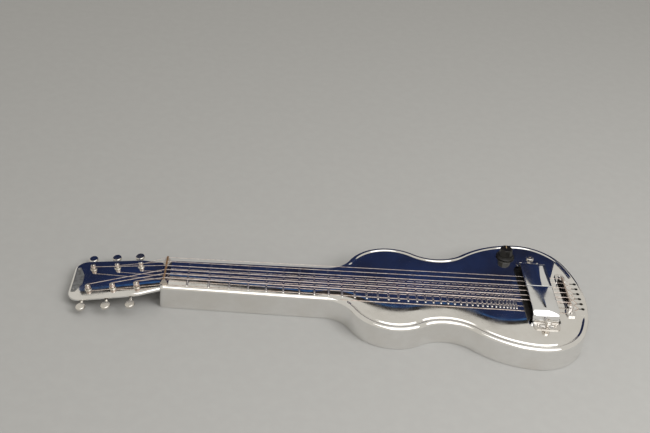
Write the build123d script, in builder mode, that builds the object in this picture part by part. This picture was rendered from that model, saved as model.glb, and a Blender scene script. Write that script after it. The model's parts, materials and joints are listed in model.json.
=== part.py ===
from build123d import *
from math import atan2, cos, degrees, radians, sin
import os

# Hollow stamped-metal electric lap guitar, modelled piece by piece. Millimetres.
# X runs along the strings from the nut to the tail, Y across them with the treble side positive,
# Z up. The origin is on the flat back, straight below the centreline of the nut.

# ---------------------------------------------------------------- driving dimensions

scale_length = 571.5
fret_count = 36
body_depth = 36.0
sheet = 1.2
gap = 0.1

# plan outline, as distances from the nut and half widths
neck_end_x = -6.0
neck_half_at_nut = 33.0
neck_joint = (226.3, 37.3)
bout_arcs = [(42.8, 60.0), (70.3, -93.3), (61.3, 71.6), (150.2, -35.1), (74.5, -70.6)]

# rolled rim and the channel stamped just inside it
rim_radius = 5.0
channel_start_x = 252.0
channel_outer_inset = 6.0
channel_inner_inset = 11.0
channel_depth = 2.4

# frets are ridges stamped up from the top
fret_half_at_nut = 28.2
fret_half_growth = 9.75
fret_width = 2.8
fret_height = 0.9

# head, in its own tilted frame: u along the head, v across it, w out of its face
head_tilt = 8.0
head_drop = 4.0
head_overlap = 1.0
head_root_half = 31.0
head_flare = (-31.0, 40.6)
head_flare_radius = 50.0
head_tip_u = -129.8
head_tip_half = 44.8
head_corner = 19.0
head_roll = 3.6
head_flange = 4.4

# strings, from the treble side to the bass side
string_diameters = [0.55, 0.65, 0.8, 1.0, 1.2, 1.45]
string_spread_nut = 47.6
string_spread_bridge = 55.4
string_height = 10.0
bridge_x = scale_length + 5.1
anchor_pitch = 11.6
anchor_slot_x = 590.0
anchor_hole_x = 600.5

# nut and bridge
nut_base = 12.0
nut_half_length = 26.2
bridge_base = 11.0
bridge_half_length = 31.5
bridge_foot_half = 49.0

# pickup
pickup_x = 536.0
magnet_width = 38.0
magnet_thickness = 4.0
magnet_top = 15.5
magnet_reach = 64.0
magnet_height = 30.0

# volume control
knob_x = 502.7
knob_y = 89.0
knob_height = 15.5

# tuners
post_us = [-32.3, -66.4, -101.0]
post_v = 23.5
post_radius = 2.6
post_top = 8.0
gear_teeth = 14
gear_radius = 4.3
worm_radius = 2.3
shaft_radius = 1.5
key_axis_w = -6.6

top_z = body_depth
head_frame = Plane(
    origin=(neck_end_x, 0, top_z - head_drop),
    x_dir=(cos(radians(head_tilt)), 0, sin(radians(head_tilt))),
    z_dir=(-sin(radians(head_tilt)), 0, cos(radians(head_tilt))),
)

os.makedirs("parts", exist_ok=True)


def write(builder, name):
    """Labels a finished piece and writes it as its own STEP file."""
    builder.part.label = name
    export_step(builder.part, "parts/" + name + ".step")


def head_offset(w, u=0.0, v=0.0):
    """The head's frame moved to (u, v, w)."""
    origin = head_frame.from_local_coords(Vector(u, v, w))
    return Plane(origin=origin, x_dir=head_frame.x_dir, z_dir=head_frame.z_dir)


def head_point(u, v, w):
    """A point given in the head's frame, in the part's frame."""
    return head_frame.from_local_coords(Vector(u, v, w))


def fret_x(number):
    """Distance of a fret from the nut in equal temperament."""
    return scale_length * (1 - 2 ** (-number / 12))


def fret_half(x):
    """Half the length of the fret ridge at x."""
    return fret_half_at_nut + fret_half_growth * x / scale_length


def string_y(index, spread):
    """Where string `index` (0 is the treble string) crosses a line of the given spread."""
    return spread / 2 - index * spread / 5


# ---------------------------------------------------------------- plan outlines

with BuildSketch() as body_plan:
    with BuildLine():
        Line((neck_end_x, 0), (neck_end_x, neck_half_at_nut))
        edge = Line((neck_end_x, neck_half_at_nut), neck_joint)
        for radius, turn in bout_arcs:
            edge = JernArc(edge @ 1, edge % 1, radius, turn)
        tail_turn = degrees(atan2((edge % 1).Y, (edge % 1).X)) + 90
        tail = JernArc(edge @ 1, edge % 1, (edge @ 1).Y / sin(radians(tail_turn)), -tail_turn)
        mirror(about=Plane.XZ)
    make_face()
tail_x = (tail @ 1).X

with BuildSketch() as head_plan:
    with BuildLine():
        Polyline(
            (head_overlap, -head_root_half),
            (head_overlap, head_root_half),
            head_flare,
            (head_tip_u, head_tip_half),
            (head_tip_u, -head_tip_half),
            (head_flare[0], -head_flare[1]),
            close=True,
        )
    make_face()
    tip_corners = head_plan.vertices().group_by(Axis.X)[0]
    fillet(tip_corners, radius=head_corner)
    flare_corners = head_plan.vertices().filter_by(lambda corner: abs(corner.X - head_flare[0]) < 1)
    fillet(flare_corners, radius=head_flare_radius)


def body_face(plane, inset):
    """The body and neck outline, drawn `inset` inside the outer edge."""
    with BuildSketch(plane) as face:
        add(body_plan.sketch)
        if inset:
            offset(amount=-inset, kind=Kind.INTERSECTION, mode=Mode.REPLACE)
    return face.sketch


def head_face(plane, inset):
    """The head outline, drawn `inset` inside the outer edge."""
    with BuildSketch(plane) as face:
        add(head_plan.sketch)
        if inset:
            offset(amount=-inset, kind=Kind.INTERSECTION, mode=Mode.REPLACE)
    return face.sketch


def rolled_slab(face, height, roll):
    """A slab standing on the given outline, its upper edge rolled over."""
    up = face.face().normal_at()
    with BuildPart() as slab:
        add(extrude(face, amount=height))
        top = slab.faces().filter_by(lambda side: side.normal_at().dot(up) > 0.999)
        fillet(top.sort_by(Axis.Z)[-1].outer_wire().edges(), radius=roll)
    return slab.part


# ---------------------------------------------------------------- top shell

fret_sphere = (fret_height**2 + (fret_width / 2) ** 2) / (2 * fret_height)
fret_sink = 0.3
pickup_opening = (44.0, 131.0)
teardrop_radius = 2.6
slot_half_width = 0.9
post_hole_radius = post_radius + 0.9
height_screw_y = 73.0
height_screw_radius = 2.2
plate_screw_x = 12.5
plate_screw_y = 71.5
small_screw_radius = 1.3
bridge_screw_y = 43.0
knob_hole_radius = 4.9
jack_z = 15.0
jack_hole_radius = 4.9
underside = top_z - sheet
ledge = top_z - channel_depth - sheet
roof_inset = channel_inner_inset + 2.0
tuner_screw_v = 18.0
tuner_screw_us = [-27.0, -49.4, -83.7, -116.0]
tuner_screw_places = [(u, side * tuner_screw_v) for side in (-1, 1) for u in tuner_screw_us]
tuner_screw_cover = 0.4

anchor_ys = [string_y(i, 5 * anchor_pitch) for i in range(6)]
post_places = [(u, side * post_v) for side in (-1, 1) for u in post_us]


def fret_ridge(number):
    """One stamped ridge: a low arch across the neck with rounded ends."""
    x = fret_x(number)
    half = fret_half(x) - fret_width / 2
    centre_z = top_z + fret_height - fret_sphere
    with BuildPart() as ridge:
        with BuildSketch(Plane((x, 0, 0), x_dir=(1, 0, 0), z_dir=(0, -1, 0))):
            with Locations((0, centre_z)):
                Circle(fret_sphere)
        extrude(amount=half, both=True)
        with Locations((x, -half, centre_z), (x, half, centre_z)):
            Sphere(fret_sphere)
        with Locations((x, 0, top_z - fret_sink)):
            Box(
                2 * fret_sphere,
                2 * half + 3 * fret_sphere,
                fret_height + fret_sink,
                align=(Align.CENTER, Align.CENTER, Align.MIN),
                mode=Mode.INTERSECT,
            )
    return ridge.part


# deep pan with a rolled upper edge, and the head as a shallow tray set back from the neck
pan = rolled_slab(body_face(Plane.XY, 0), top_z, rim_radius)
tray = rolled_slab(head_face(head_offset(-head_flange), 0), head_flange, head_roll)
ridges = [fret_ridge(number) for number in range(1, fret_count + 1)]
# both are hollow and open at the back; the ceiling is lower under the rim and the channel
pan_hollow = rolled_slab(body_face(Plane.XY, sheet), ledge, rim_radius - sheet)
roof_hollow = extrude(body_face(Plane.XY, roof_inset), amount=underside)
tray_hollow = rolled_slab(
    head_face(head_offset(-head_flange), sheet), head_flange - sheet, head_roll - sheet
)

with BuildPart() as top_shell:
    add(pan)
    add(tray)
    add(ridges)
    add([pan_hollow, roof_hollow, tray_hollow], mode=Mode.SUBTRACT)
    # channel around the body
    with BuildSketch(Plane.XY.offset(top_z - channel_depth)):
        add(body_face(Plane.XY, channel_outer_inset))
        add(body_face(Plane.XY, channel_inner_inset), mode=Mode.SUBTRACT)
        with Locations((channel_start_x, 0)):
            Rectangle(
                tail_x, 3 * bridge_foot_half, align=(Align.MAX, Align.CENTER), mode=Mode.SUBTRACT
            )
    extrude(amount=channel_depth, mode=Mode.SUBTRACT)
    # openings in the top: pickup, screws, control shaft and the string anchors
    with BuildSketch(Plane.XY.offset(ledge)):
        with Locations((pickup_x, 0)):
            Rectangle(*pickup_opening)
            with Locations((0, -height_screw_y), (0, height_screw_y)):
                Circle(height_screw_radius + gap)
            with GridLocations(2 * plate_screw_x, 2 * plate_screw_y, 2, 2):
                Circle(small_screw_radius + gap)
        with Locations((bridge_x, -bridge_screw_y), (bridge_x, bridge_screw_y)):
            Circle(small_screw_radius + gap)
        with Locations((knob_x, knob_y)):
            Circle(knob_hole_radius)
        for y in anchor_ys:
            with Locations((anchor_hole_x, y)):
                Circle(teardrop_radius)
            with Locations((anchor_slot_x, y)):
                Circle(slot_half_width)
                Rectangle(
                    anchor_hole_x - anchor_slot_x,
                    2 * slot_half_width,
                    align=(Align.MIN, Align.CENTER),
                )
    extrude(amount=top_z, mode=Mode.SUBTRACT)
    # openings in the head: string posts and tuner screws
    with BuildSketch(head_offset(-head_flange)):
        with Locations(*post_places):
            Circle(post_hole_radius)
    extrude(amount=2 * head_flange, mode=Mode.SUBTRACT)
    with BuildSketch(head_offset(-head_flange)):
        with Locations(*tuner_screw_places):
            Circle(small_screw_radius + gap)
    extrude(amount=head_flange - tuner_screw_cover, mode=Mode.SUBTRACT)
    # output socket hole in the tail wall
    with BuildSketch(Plane((tail_x + 5, 0, jack_z), x_dir=(0, 1, 0), z_dir=(1, 0, 0))):
        Circle(jack_hole_radius)
    extrude(amount=-15, mode=Mode.SUBTRACT)

write(top_shell, "top_shell")

# ---------------------------------------------------------------- back plate and its fixings

back_inset = sheet + 0.2
post_foot_radius = 3.5
back_screw_radius = 1.5
back_screw_head = 3.0
back_screw_length = 9.0
back_places = [
    (14.0, 15.0),
    (120.0, 15.0),
    (225.0, 16.0),
    (305.0, 68.0),
    (391.0, 50.0),
    (478.0, 90.0),
    (574.0, 68.0),
]
back_points = [(x, side * y) for x, y in back_places for side in (-1, 1)]

with BuildPart() as back_plate:
    with BuildSketch():
        add(body_face(Plane.XY, back_inset))
    extrude(amount=sheet)
    with Locations(*[Pos(x, y, 0) * Rot(180, 0, 0) for x, y in back_points]):
        CounterSinkHole(
            back_screw_radius + gap, back_screw_head + gap, depth=sheet, counter_sink_angle=100
        )
write(back_plate, "back_plate")

with BuildPart() as back_plate_posts:
    with BuildSketch(Plane.XY.offset(sheet)):
        with Locations(*back_points):
            Circle(post_foot_radius)
    extrude(amount=underside - sheet)
    with BuildSketch(Plane.XY.offset(sheet)):
        with Locations(*back_points):
            Circle(back_screw_radius + gap / 2)
    extrude(amount=back_screw_length, mode=Mode.SUBTRACT)
write(back_plate_posts, "back_plate_posts")

with BuildPart() as back_plate_screws:
    for x, y in back_points:
        with Locations((x, y, 0)):
            Cone(
                back_screw_head,
                back_screw_radius,
                sheet - 0.1,
                align=(Align.CENTER, Align.CENTER, Align.MIN),
            )
            Cylinder(
                back_screw_radius,
                back_screw_length,
                align=(Align.CENTER, Align.CENTER, Align.MIN),
            )
            Box(4.4, 0.7, 0.7, mode=Mode.SUBTRACT)
write(back_plate_screws, "back_plate_screws")

# ---------------------------------------------------------------- strings

string_radii = [diameter / 2 for diameter in string_diameters]
anchor_depth = 4.5
post_coil_w = 5.2
coil_turns = 3
ball_radius = 2.2
nut_z = top_z + string_height
# side (1 treble, -1 bass) and place along the head of the post that each string winds on
string_posts = [(1, 0), (1, 1), (1, 2), (-1, 2), (-1, 1), (-1, 0)]


def string_run(index, radius):
    """String `index` from its post over nut and bridge to its anchor, with the given radius."""
    side, place = string_posts[index]
    wrap = post_radius + gap + string_radii[index]
    start = head_point(post_us[place], side * (post_v - wrap), post_coil_w)
    over_nut = Vector(0, string_y(index, string_spread_nut), nut_z)
    over_bridge = Vector(bridge_x, string_y(index, string_spread_bridge), nut_z)
    entry = Vector(anchor_slot_x, anchor_ys[index], top_z + 1.0)
    anchor = Vector(anchor_slot_x, anchor_ys[index], top_z - sheet - anchor_depth)
    with BuildPart() as run:
        with BuildLine():
            Polyline(start, over_nut, over_bridge, entry, anchor)
        with BuildSketch(Plane(origin=start, z_dir=over_nut - start)):
            Circle(radius)
        sweep(transition=Transition.ROUND)
    return run.part


for index, radius in enumerate(string_radii):
    side, place = string_posts[index]
    inner = post_radius + gap
    run = string_run(index, radius)
    with BuildPart() as string:
        add(run)
        coil_low = head_offset(post_coil_w - coil_turns * radius, post_us[place], side * post_v)
        with BuildSketch(coil_low):
            Circle(inner + 2 * radius)
            Circle(inner, mode=Mode.SUBTRACT)
        extrude(amount=2 * coil_turns * radius)
    write(string, "string_" + str(index + 1))

with BuildPart() as string_ball_ends:
    for index, radius in enumerate(string_radii):
        with Locations((anchor_slot_x, anchor_ys[index], top_z - sheet - anchor_depth)):
            Cylinder(ball_radius, 2.6, rotation=(90, 0, 0))
            Cylinder(
                radius + 0.02,
                ball_radius + 2,
                align=(Align.CENTER, Align.CENTER, Align.MIN),
                mode=Mode.SUBTRACT,
            )
write(string_ball_ends, "string_ball_ends")

# ---------------------------------------------------------------- nut and bridge

nut_apex = string_height + 0.6
bridge_apex = string_height + 0.6
notch_clearance = 0.06
string_clearances = [
    string_run(index, radius + notch_clearance) for index, radius in enumerate(string_radii)
]


def string_notches(x, spread, length):
    """Cuts a groove for each string across a ridge at x."""
    add(string_clearances, mode=Mode.SUBTRACT)
    for index, radius in enumerate(string_radii):
        with Locations((x, string_y(index, spread), top_z + string_height)):
            Box(
                length,
                2 * (radius + notch_clearance),
                4,
                align=(Align.CENTER, Align.CENTER, Align.MIN),
                mode=Mode.SUBTRACT,
            )


with BuildPart() as nut:
    with BuildSketch(Plane.XZ):
        with BuildLine():
            Polyline(
                (-nut_base / 2, top_z),
                (nut_base / 2, top_z),
                (0.9, top_z + nut_apex),
                (-0.9, top_z + nut_apex),
                close=True,
            )
        make_face()
    extrude(amount=nut_half_length, both=True)
    string_notches(0, string_spread_nut, nut_base)
write(nut, "nut")

with BuildPart() as bridge:
    with BuildSketch(Plane.XZ):
        with BuildLine():
            Polyline(
                (bridge_x - bridge_base / 2, top_z),
                (bridge_x + bridge_base / 2, top_z),
                (bridge_x + 0.9, top_z + bridge_apex),
                (bridge_x - 0.9, top_z + bridge_apex),
                close=True,
            )
        make_face()
    extrude(amount=bridge_half_length, both=True)
    with Locations((bridge_x, -bridge_half_length, top_z), (bridge_x, bridge_half_length, top_z)):
        Cylinder(5.2, 9.0, align=(Align.CENTER, Align.CENTER, Align.MIN))
    fillet(bridge.edges().filter_by(GeomType.CIRCLE).group_by(Axis.Z)[-1], radius=2.0)
    with BuildSketch(Plane.XY.offset(top_z)):
        with Locations((bridge_x, 0)):
            RectangleRounded(bridge_base + 2, 2 * bridge_foot_half, 3)
            Rectangle(bridge_base + 4, 2 * bridge_half_length, mode=Mode.SUBTRACT)
    extrude(amount=2.4)
    with Locations(
        (bridge_x, -bridge_screw_y, top_z + 2.4), (bridge_x, bridge_screw_y, top_z + 2.4)
    ):
        Hole(small_screw_radius + gap, depth=2.4)
    string_notches(bridge_x, string_spread_bridge, bridge_base)
write(bridge, "bridge")


def round_head_screws(name, places, head_radius, shank_radius, shank_length, slot_width=0.8):
    """Slotted round-head screws that all point down from the given places."""
    with BuildPart() as screws:
        for place in places:
            with Locations(place):
                Sphere(
                    head_radius, arc_size1=0, align=(Align.CENTER, Align.CENTER, Align.MIN)
                )
                Cylinder(
                    shank_radius,
                    shank_length,
                    align=(Align.CENTER, Align.CENTER, Align.MAX),
                )
                with Locations((0, 0, head_radius)):
                    Box(2.2 * head_radius, slot_width, head_radius, mode=Mode.SUBTRACT)
    write(screws, name)


round_head_screws(
    "bridge_screws",
    [Pos(bridge_x, side * bridge_screw_y, top_z + 2.4) for side in (-1, 1)],
    2.3,
    small_screw_radius,
    6.0,
)

# ---------------------------------------------------------------- pickup

magnet_bend = magnet_height / 2
plate_thickness = 1.5
plate_reach = 80.5
coil_top = top_z + 4.5
arm_floor = top_z + magnet_top - magnet_height + magnet_thickness
seam_gap = 0.3


def horseshoe_magnet(side):
    """A bar bent into a U round the strings; side is 1 for treble, -1 for bass."""
    mid_z = top_z + magnet_top - magnet_bend
    with BuildPart() as magnet:
        with BuildSketch(Plane((pickup_x, 0, mid_z), x_dir=(0, side, 0), z_dir=(-side, 0, 0))):
            with Locations((magnet_reach - magnet_bend, 0)):
                Circle(magnet_bend)
            with Locations((seam_gap, 0)):
                Rectangle(
                    magnet_reach - magnet_bend - seam_gap,
                    magnet_height,
                    align=(Align.MIN, Align.CENTER),
                )
            inner = magnet_bend - magnet_thickness
            with Locations((magnet_reach - magnet_bend, 0)):
                Circle(inner, mode=Mode.SUBTRACT)
            Rectangle(
                magnet_reach - magnet_bend,
                2 * inner,
                align=(Align.MIN, Align.CENTER),
                mode=Mode.SUBTRACT,
            )
        extrude(amount=magnet_width / 2, both=True)
        fillet(magnet.faces().sort_by(Axis.Y)[0 if side > 0 else -1].edges(), radius=0.6)
    return magnet


write(horseshoe_magnet(-1), "magnet_near")
write(horseshoe_magnet(1), "magnet_far")

flange_thickness = 1.3
flange_height = 4.5

with BuildPart() as pickup_end_plates:
    with BuildSketch(Plane.XY.offset(top_z)):
        with Locations((pickup_x, 0)):
            RectangleRounded(magnet_width, 2 * plate_reach, 6.5)
            Rectangle(2 * magnet_width, 2 * (magnet_reach + 1.0), mode=Mode.SUBTRACT)
    extrude(amount=plate_thickness)
    with BuildSketch(Plane.XY.offset(top_z)):
        with Locations((pickup_x, 0)):
            Rectangle(magnet_width - 4, 2 * (magnet_reach + 1.0 + flange_thickness))
            Rectangle(2 * magnet_width, 2 * (magnet_reach + 1.0), mode=Mode.SUBTRACT)
    extrude(amount=flange_height)
    with BuildSketch(Plane.XY.offset(top_z)):
        with Locations((pickup_x, 0)):
            with GridLocations(2 * plate_screw_x, 2 * plate_screw_y, 2, 2):
                Circle(small_screw_radius + gap)
            with Locations((0, -height_screw_y), (0, height_screw_y)):
                Circle(height_screw_radius + gap)
    extrude(amount=plate_thickness, mode=Mode.SUBTRACT)
write(pickup_end_plates, "pickup_end_plates")

round_head_screws(
    "pickup_plate_screws",
    [
        Pos(pickup_x + end * plate_screw_x, side * plate_screw_y, top_z + plate_thickness)
        for end in (-1, 1)
        for side in (-1, 1)
    ],
    2.2,
    small_screw_radius,
    6.0,
)

height_head_radius = 5.6
height_head_base = 8.0
height_head_top = 12.5
bar_top = arm_floor - magnet_thickness
bar_thickness = 4.0

with BuildPart() as pickup_height_screws:
    for side in (-1, 1):
        with Locations((pickup_x, side * height_screw_y, top_z + height_head_base)):
            Cylinder(
                height_head_radius,
                height_head_top - height_head_base,
                align=(Align.CENTER, Align.CENTER, Align.MIN),
            )
        with Locations((pickup_x, side * height_screw_y, bar_top - bar_thickness - 3)):
            Cylinder(
                height_screw_radius,
                top_z + height_head_base - bar_top + bar_thickness + 3,
                align=(Align.CENTER, Align.CENTER, Align.MIN),
            )
    rims = pickup_height_screws.edges().filter_by(GeomType.CIRCLE).group_by(Axis.Z)[-1]
    fillet(rims, radius=1.2)
    with BuildSketch(Plane.XY.offset(top_z + height_head_top)):
        with Locations((pickup_x, -height_screw_y), (pickup_x, height_screw_y)):
            Circle(1.8)
    extrude(amount=-2.5, mode=Mode.SUBTRACT)
write(pickup_height_screws, "pickup_height_screws")

with BuildPart() as pickup_support_bar:
    with BuildSketch(Plane.XY.offset(bar_top - bar_thickness)):
        with Locations((pickup_x, 0)):
            RectangleRounded(12.0, 2 * (height_screw_y + 5.5), 4)
            with Locations((0, -height_screw_y), (0, height_screw_y)):
                Circle(height_screw_radius + gap / 2, mode=Mode.SUBTRACT)
    extrude(amount=bar_thickness)
write(pickup_support_bar, "pickup_support_bar")

base_reach = magnet_reach - magnet_thickness - 0.6
base_back = 25.0
base_front = 20.0
base_thickness = 2.0
bobbin_half_x = 12.0
bobbin_half_y = 36.0
core_half_x = 4.0
core_half_y = 30.0
bobbin_flange = 2.0
pole_radius = 2.4
pole_spread = 54.0

with BuildPart() as pickup_base:
    with BuildSketch(Plane.XY.offset(top_z)):
        with Locations((pickup_x - base_back, 0)):
            Rectangle(base_back + base_front, 2 * base_reach, align=(Align.MIN, Align.CENTER))
        with Locations((pickup_x, 0)):
            Rectangle(2 * (bobbin_half_x + gap), 2 * (bobbin_half_y + gap), mode=Mode.SUBTRACT)
    extrude(amount=base_thickness)
    fillet(pickup_base.edges().filter_by(Axis.Z).group_by(Axis.X)[0], radius=2.0)
write(pickup_base, "pickup_base")

with BuildPart() as coil_bobbin:
    for level in (arm_floor, coil_top - bobbin_flange):
        with BuildSketch(Plane.XY.offset(level)):
            with Locations((pickup_x, 0)):
                RectangleRounded(2 * bobbin_half_x, 2 * bobbin_half_y, 3)
        extrude(amount=bobbin_flange)
    with BuildSketch(Plane.XY.offset(arm_floor)):
        with Locations((pickup_x, 0)):
            RectangleRounded(2 * core_half_x, 2 * core_half_y, 2)
    extrude(amount=coil_top - arm_floor)
    with BuildSketch(Plane.XY.offset(arm_floor)):
        for index in range(6):
            with Locations((pickup_x, string_y(index, pole_spread))):
                Circle(pole_radius + 0.02)
    extrude(amount=coil_top - arm_floor, mode=Mode.SUBTRACT)
write(coil_bobbin, "coil_bobbin")

with BuildPart() as coil_winding:
    with BuildSketch(Plane.XY.offset(arm_floor + bobbin_flange + 0.05)):
        with Locations((pickup_x, 0)):
            RectangleRounded(2 * (bobbin_half_x - 1.5), 2 * (bobbin_half_y - 1.5), 5)
            RectangleRounded(
                2 * (core_half_x + 0.05), 2 * (core_half_y + 0.05), 2, mode=Mode.SUBTRACT
            )
    extrude(amount=coil_top - arm_floor - 2 * bobbin_flange - 0.1)
write(coil_winding, "coil_winding")

with BuildPart() as pole_pieces:
    for index in range(6):
        with Locations((pickup_x, string_y(index, pole_spread), arm_floor)):
            Cylinder(
                pole_radius,
                coil_top - arm_floor + 1.5,
                align=(Align.CENTER, Align.CENTER, Align.MIN),
            )
write(pole_pieces, "pole_pieces")

# ---------------------------------------------------------------- volume control

pot_radius = 13.5
pot_height = 11.0
pot_shaft_radius = 3.1
pot_bushing_radius = knob_hole_radius - gap
pot_nut_height = 1.8
skirt_radius = 14.0
skirt_height = 4.0
grip_low = 20.0
grip_high = 17.0
knob_lift = 0.6
knob_recess = 2.6
pot_top = underside
shaft_foot = pot_top - 5.8
shaft_top = top_z + knob_height - 3.0

with BuildPart() as potentiometer_case:
    with Locations((knob_x, knob_y, pot_top - pot_height)):
        Cylinder(pot_radius, pot_height, align=(Align.CENTER, Align.CENTER, Align.MIN))
    fillet(potentiometer_case.edges().filter_by(GeomType.CIRCLE).group_by(Axis.Z)[0], radius=1.5)
    with Locations((knob_x, knob_y, pot_top - pot_height)):
        Cylinder(
            pot_bushing_radius,
            pot_height + sheet + pot_nut_height,
            align=(Align.CENTER, Align.CENTER, Align.MIN),
        )
    with Locations((knob_x, knob_y, shaft_foot - 0.2)):
        Cylinder(
            pot_shaft_radius + 0.05,
            pot_height + knob_height,
            align=(Align.CENTER, Align.CENTER, Align.MIN),
            mode=Mode.SUBTRACT,
        )
    for terminal in (-1, 0, 1):
        with Locations((knob_x - pot_radius - 2.0, knob_y + 5.0 * terminal, pot_top - 8.0)):
            Box(8.0, 2.2, 0.8)
write(potentiometer_case, "potentiometer_case")

with BuildPart() as potentiometer_nut:
    with BuildSketch(Plane.XY.offset(top_z)):
        with Locations((knob_x, knob_y)):
            RegularPolygon(7.0, 6)
            Circle(pot_bushing_radius + 0.05, mode=Mode.SUBTRACT)
    extrude(amount=pot_nut_height)
write(potentiometer_nut, "potentiometer_nut")

with BuildPart() as potentiometer_shaft:
    with Locations((knob_x, knob_y, shaft_foot)):
        Cylinder(
            pot_shaft_radius, shaft_top - shaft_foot, align=(Align.CENTER, Align.CENTER, Align.MIN)
        )
write(potentiometer_shaft, "potentiometer_shaft")

with BuildPart() as volume_knob:
    with Locations((knob_x, knob_y, top_z + knob_lift)):
        Cone(
            skirt_radius,
            grip_low / 2 + 1.0,
            skirt_height,
            align=(Align.CENTER, Align.CENTER, Align.MIN),
        )
    grip_levels = [(top_z + knob_lift + skirt_height, grip_low), (top_z + knob_height, grip_high)]
    for level, size in grip_levels:
        with BuildSketch(Plane.XY.offset(level)):
            with Locations((knob_x, knob_y)):
                RegularPolygon(size / 2, 8, major_radius=False, rotation=22.5)
    loft()
    chamfer(volume_knob.faces().sort_by(Axis.Z)[-1].edges(), length=0.8)
    with Locations((knob_x, knob_y, top_z + knob_lift)):
        Cylinder(
            pot_bushing_radius + 2.6,
            knob_recess,
            align=(Align.CENTER, Align.CENTER, Align.MIN),
            mode=Mode.SUBTRACT,
        )
        Cylinder(
            pot_shaft_radius + 0.02,
            knob_height - knob_lift - 3.0,
            align=(Align.CENTER, Align.CENTER, Align.MIN),
            mode=Mode.SUBTRACT,
        )
    with Locations((knob_x, knob_y + grip_high / 4, top_z + knob_height)):
        Box(0.8, grip_high / 2, 0.8, mode=Mode.SUBTRACT)
write(volume_knob, "volume_knob")

# ---------------------------------------------------------------- output socket and wiring

jack_bore_radius = 3.25
jack_flange_radius = 7.5
jack_flange_length = 8.0
jack_inner_x = tail_x - sheet - 0.6
jack_nut_height = 2.2
jack_thread = sheet + 0.6 + jack_nut_height + 1.2
jack_axis = Plane((jack_inner_x, 0, jack_z), x_dir=(0, 1, 0), z_dir=(1, 0, 0))
lead_radius = 0.8

with BuildPart() as output_jack:
    with BuildSketch(jack_axis):
        Circle(jack_hole_radius - gap)
    extrude(amount=jack_thread)
    with BuildSketch(jack_axis):
        Circle(jack_flange_radius)
    extrude(amount=-jack_flange_length)
    with BuildSketch(jack_axis.offset(-jack_flange_length)):
        Circle(jack_bore_radius)
    extrude(amount=jack_flange_length + jack_thread, mode=Mode.SUBTRACT)
    with Locations((jack_inner_x - jack_flange_length - 4.0, 0, jack_z + 5.5)):
        Box(10.0, 5.0, 0.8)
    with Locations((jack_inner_x - jack_flange_length - 3.0, 0, jack_z - 5.5)):
        Box(8.0, 5.0, 0.8)
write(output_jack, "output_jack")

with BuildPart() as jack_nut:
    with BuildSketch(Plane((tail_x + 0.05, 0, jack_z), x_dir=(0, 1, 0), z_dir=(1, 0, 0))):
        RegularPolygon(8.0, 6)
        Circle(jack_hole_radius - gap + 0.05, mode=Mode.SUBTRACT)
    extrude(amount=jack_nut_height)
write(jack_nut, "jack_nut")

terminal_x = knob_x - pot_radius - 4.5
tag_z = pot_top - 8.0 - 0.4 - lead_radius
lead_runs = [
    [
        (pickup_x - bobbin_half_x + 0.4, 20.0, arm_floor + 5.0),
        (pickup_x - bobbin_half_x - 12.0, 30.0, arm_floor + 3.0),
        (knob_x - 12.0, 62.0, 20.0),
        (terminal_x - 3.0, knob_y - 10.0, tag_z - 2.0),
        (terminal_x, knob_y - 5.0, tag_z),
    ],
    [
        (terminal_x, knob_y, tag_z),
        (terminal_x - 3.0, knob_y - 4.0, 12.0),
        (knob_x + 4.0, knob_y - 20.0, 6.0),
        (jack_inner_x - 40.0, 20.0, 6.0),
        (jack_inner_x - 22.0, 1.0, jack_z - 7.0),
        (jack_inner_x - 13.5, 0, jack_z - 6.8),
    ],
]

with BuildPart() as wiring:
    for run in lead_runs:
        with BuildLine() as path:
            Spline(*run)
        with BuildSketch(Plane(origin=path.line @ 0, z_dir=path.line % 0)):
            Circle(lead_radius)
        sweep(path=path.line)
write(wiring, "wiring")

# ---------------------------------------------------------------- nameplate

nameplate_u = -121.5
nameplate_half = 27.0
nameplate_thickness = 1.0
pin_radius = 0.9
pin_head_radius = 1.7
pin_places = [(nameplate_u, side * (nameplate_half - 4.0)) for side in (-1, 1)]

with BuildPart() as nameplate:
    with BuildSketch(head_offset(0)) as blank:
        Polygon(
            (nameplate_u - 4.0, -nameplate_half),
            (nameplate_u + 3.0, -nameplate_half),
            (nameplate_u + 9.5, -nameplate_half / 3),
            (nameplate_u + 9.5, nameplate_half / 3),
            (nameplate_u + 3.0, nameplate_half),
            (nameplate_u - 4.0, nameplate_half),
            align=None,
        )
        fillet(blank.vertices(), radius=2.0)
        with Locations(*pin_places):
            Circle(pin_radius + 0.05, mode=Mode.SUBTRACT)
    extrude(amount=nameplate_thickness)
write(nameplate, "nameplate")

with BuildPart() as nameplate_pins:
    with BuildSketch(head_offset(0)):
        with Locations(*pin_places):
            Circle(pin_radius)
    extrude(amount=nameplate_thickness)
    with BuildSketch(head_offset(nameplate_thickness)):
        with Locations(*pin_places):
            Circle(pin_head_radius)
    extrude(amount=0.6)
write(nameplate_pins, "nameplate_pins")

# ---------------------------------------------------------------- tuners

plate_low = -2 * sheet
plate_half_width = 9.5
plate_start_u = -23.0
plate_end_u = -120.5
ear_half = 5.0
ear_thickness = 1.4
ear_reach = 9.0
ear_width = 5.6
worm_offset = gear_radius + worm_radius + gap
gear_thickness = 2.6
button_start = 44.5
button_length = 15.0
button_width = 13.6
button_thickness = 5.0
worm_length = 2 * (ear_half - ear_thickness) - 0.3

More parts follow.
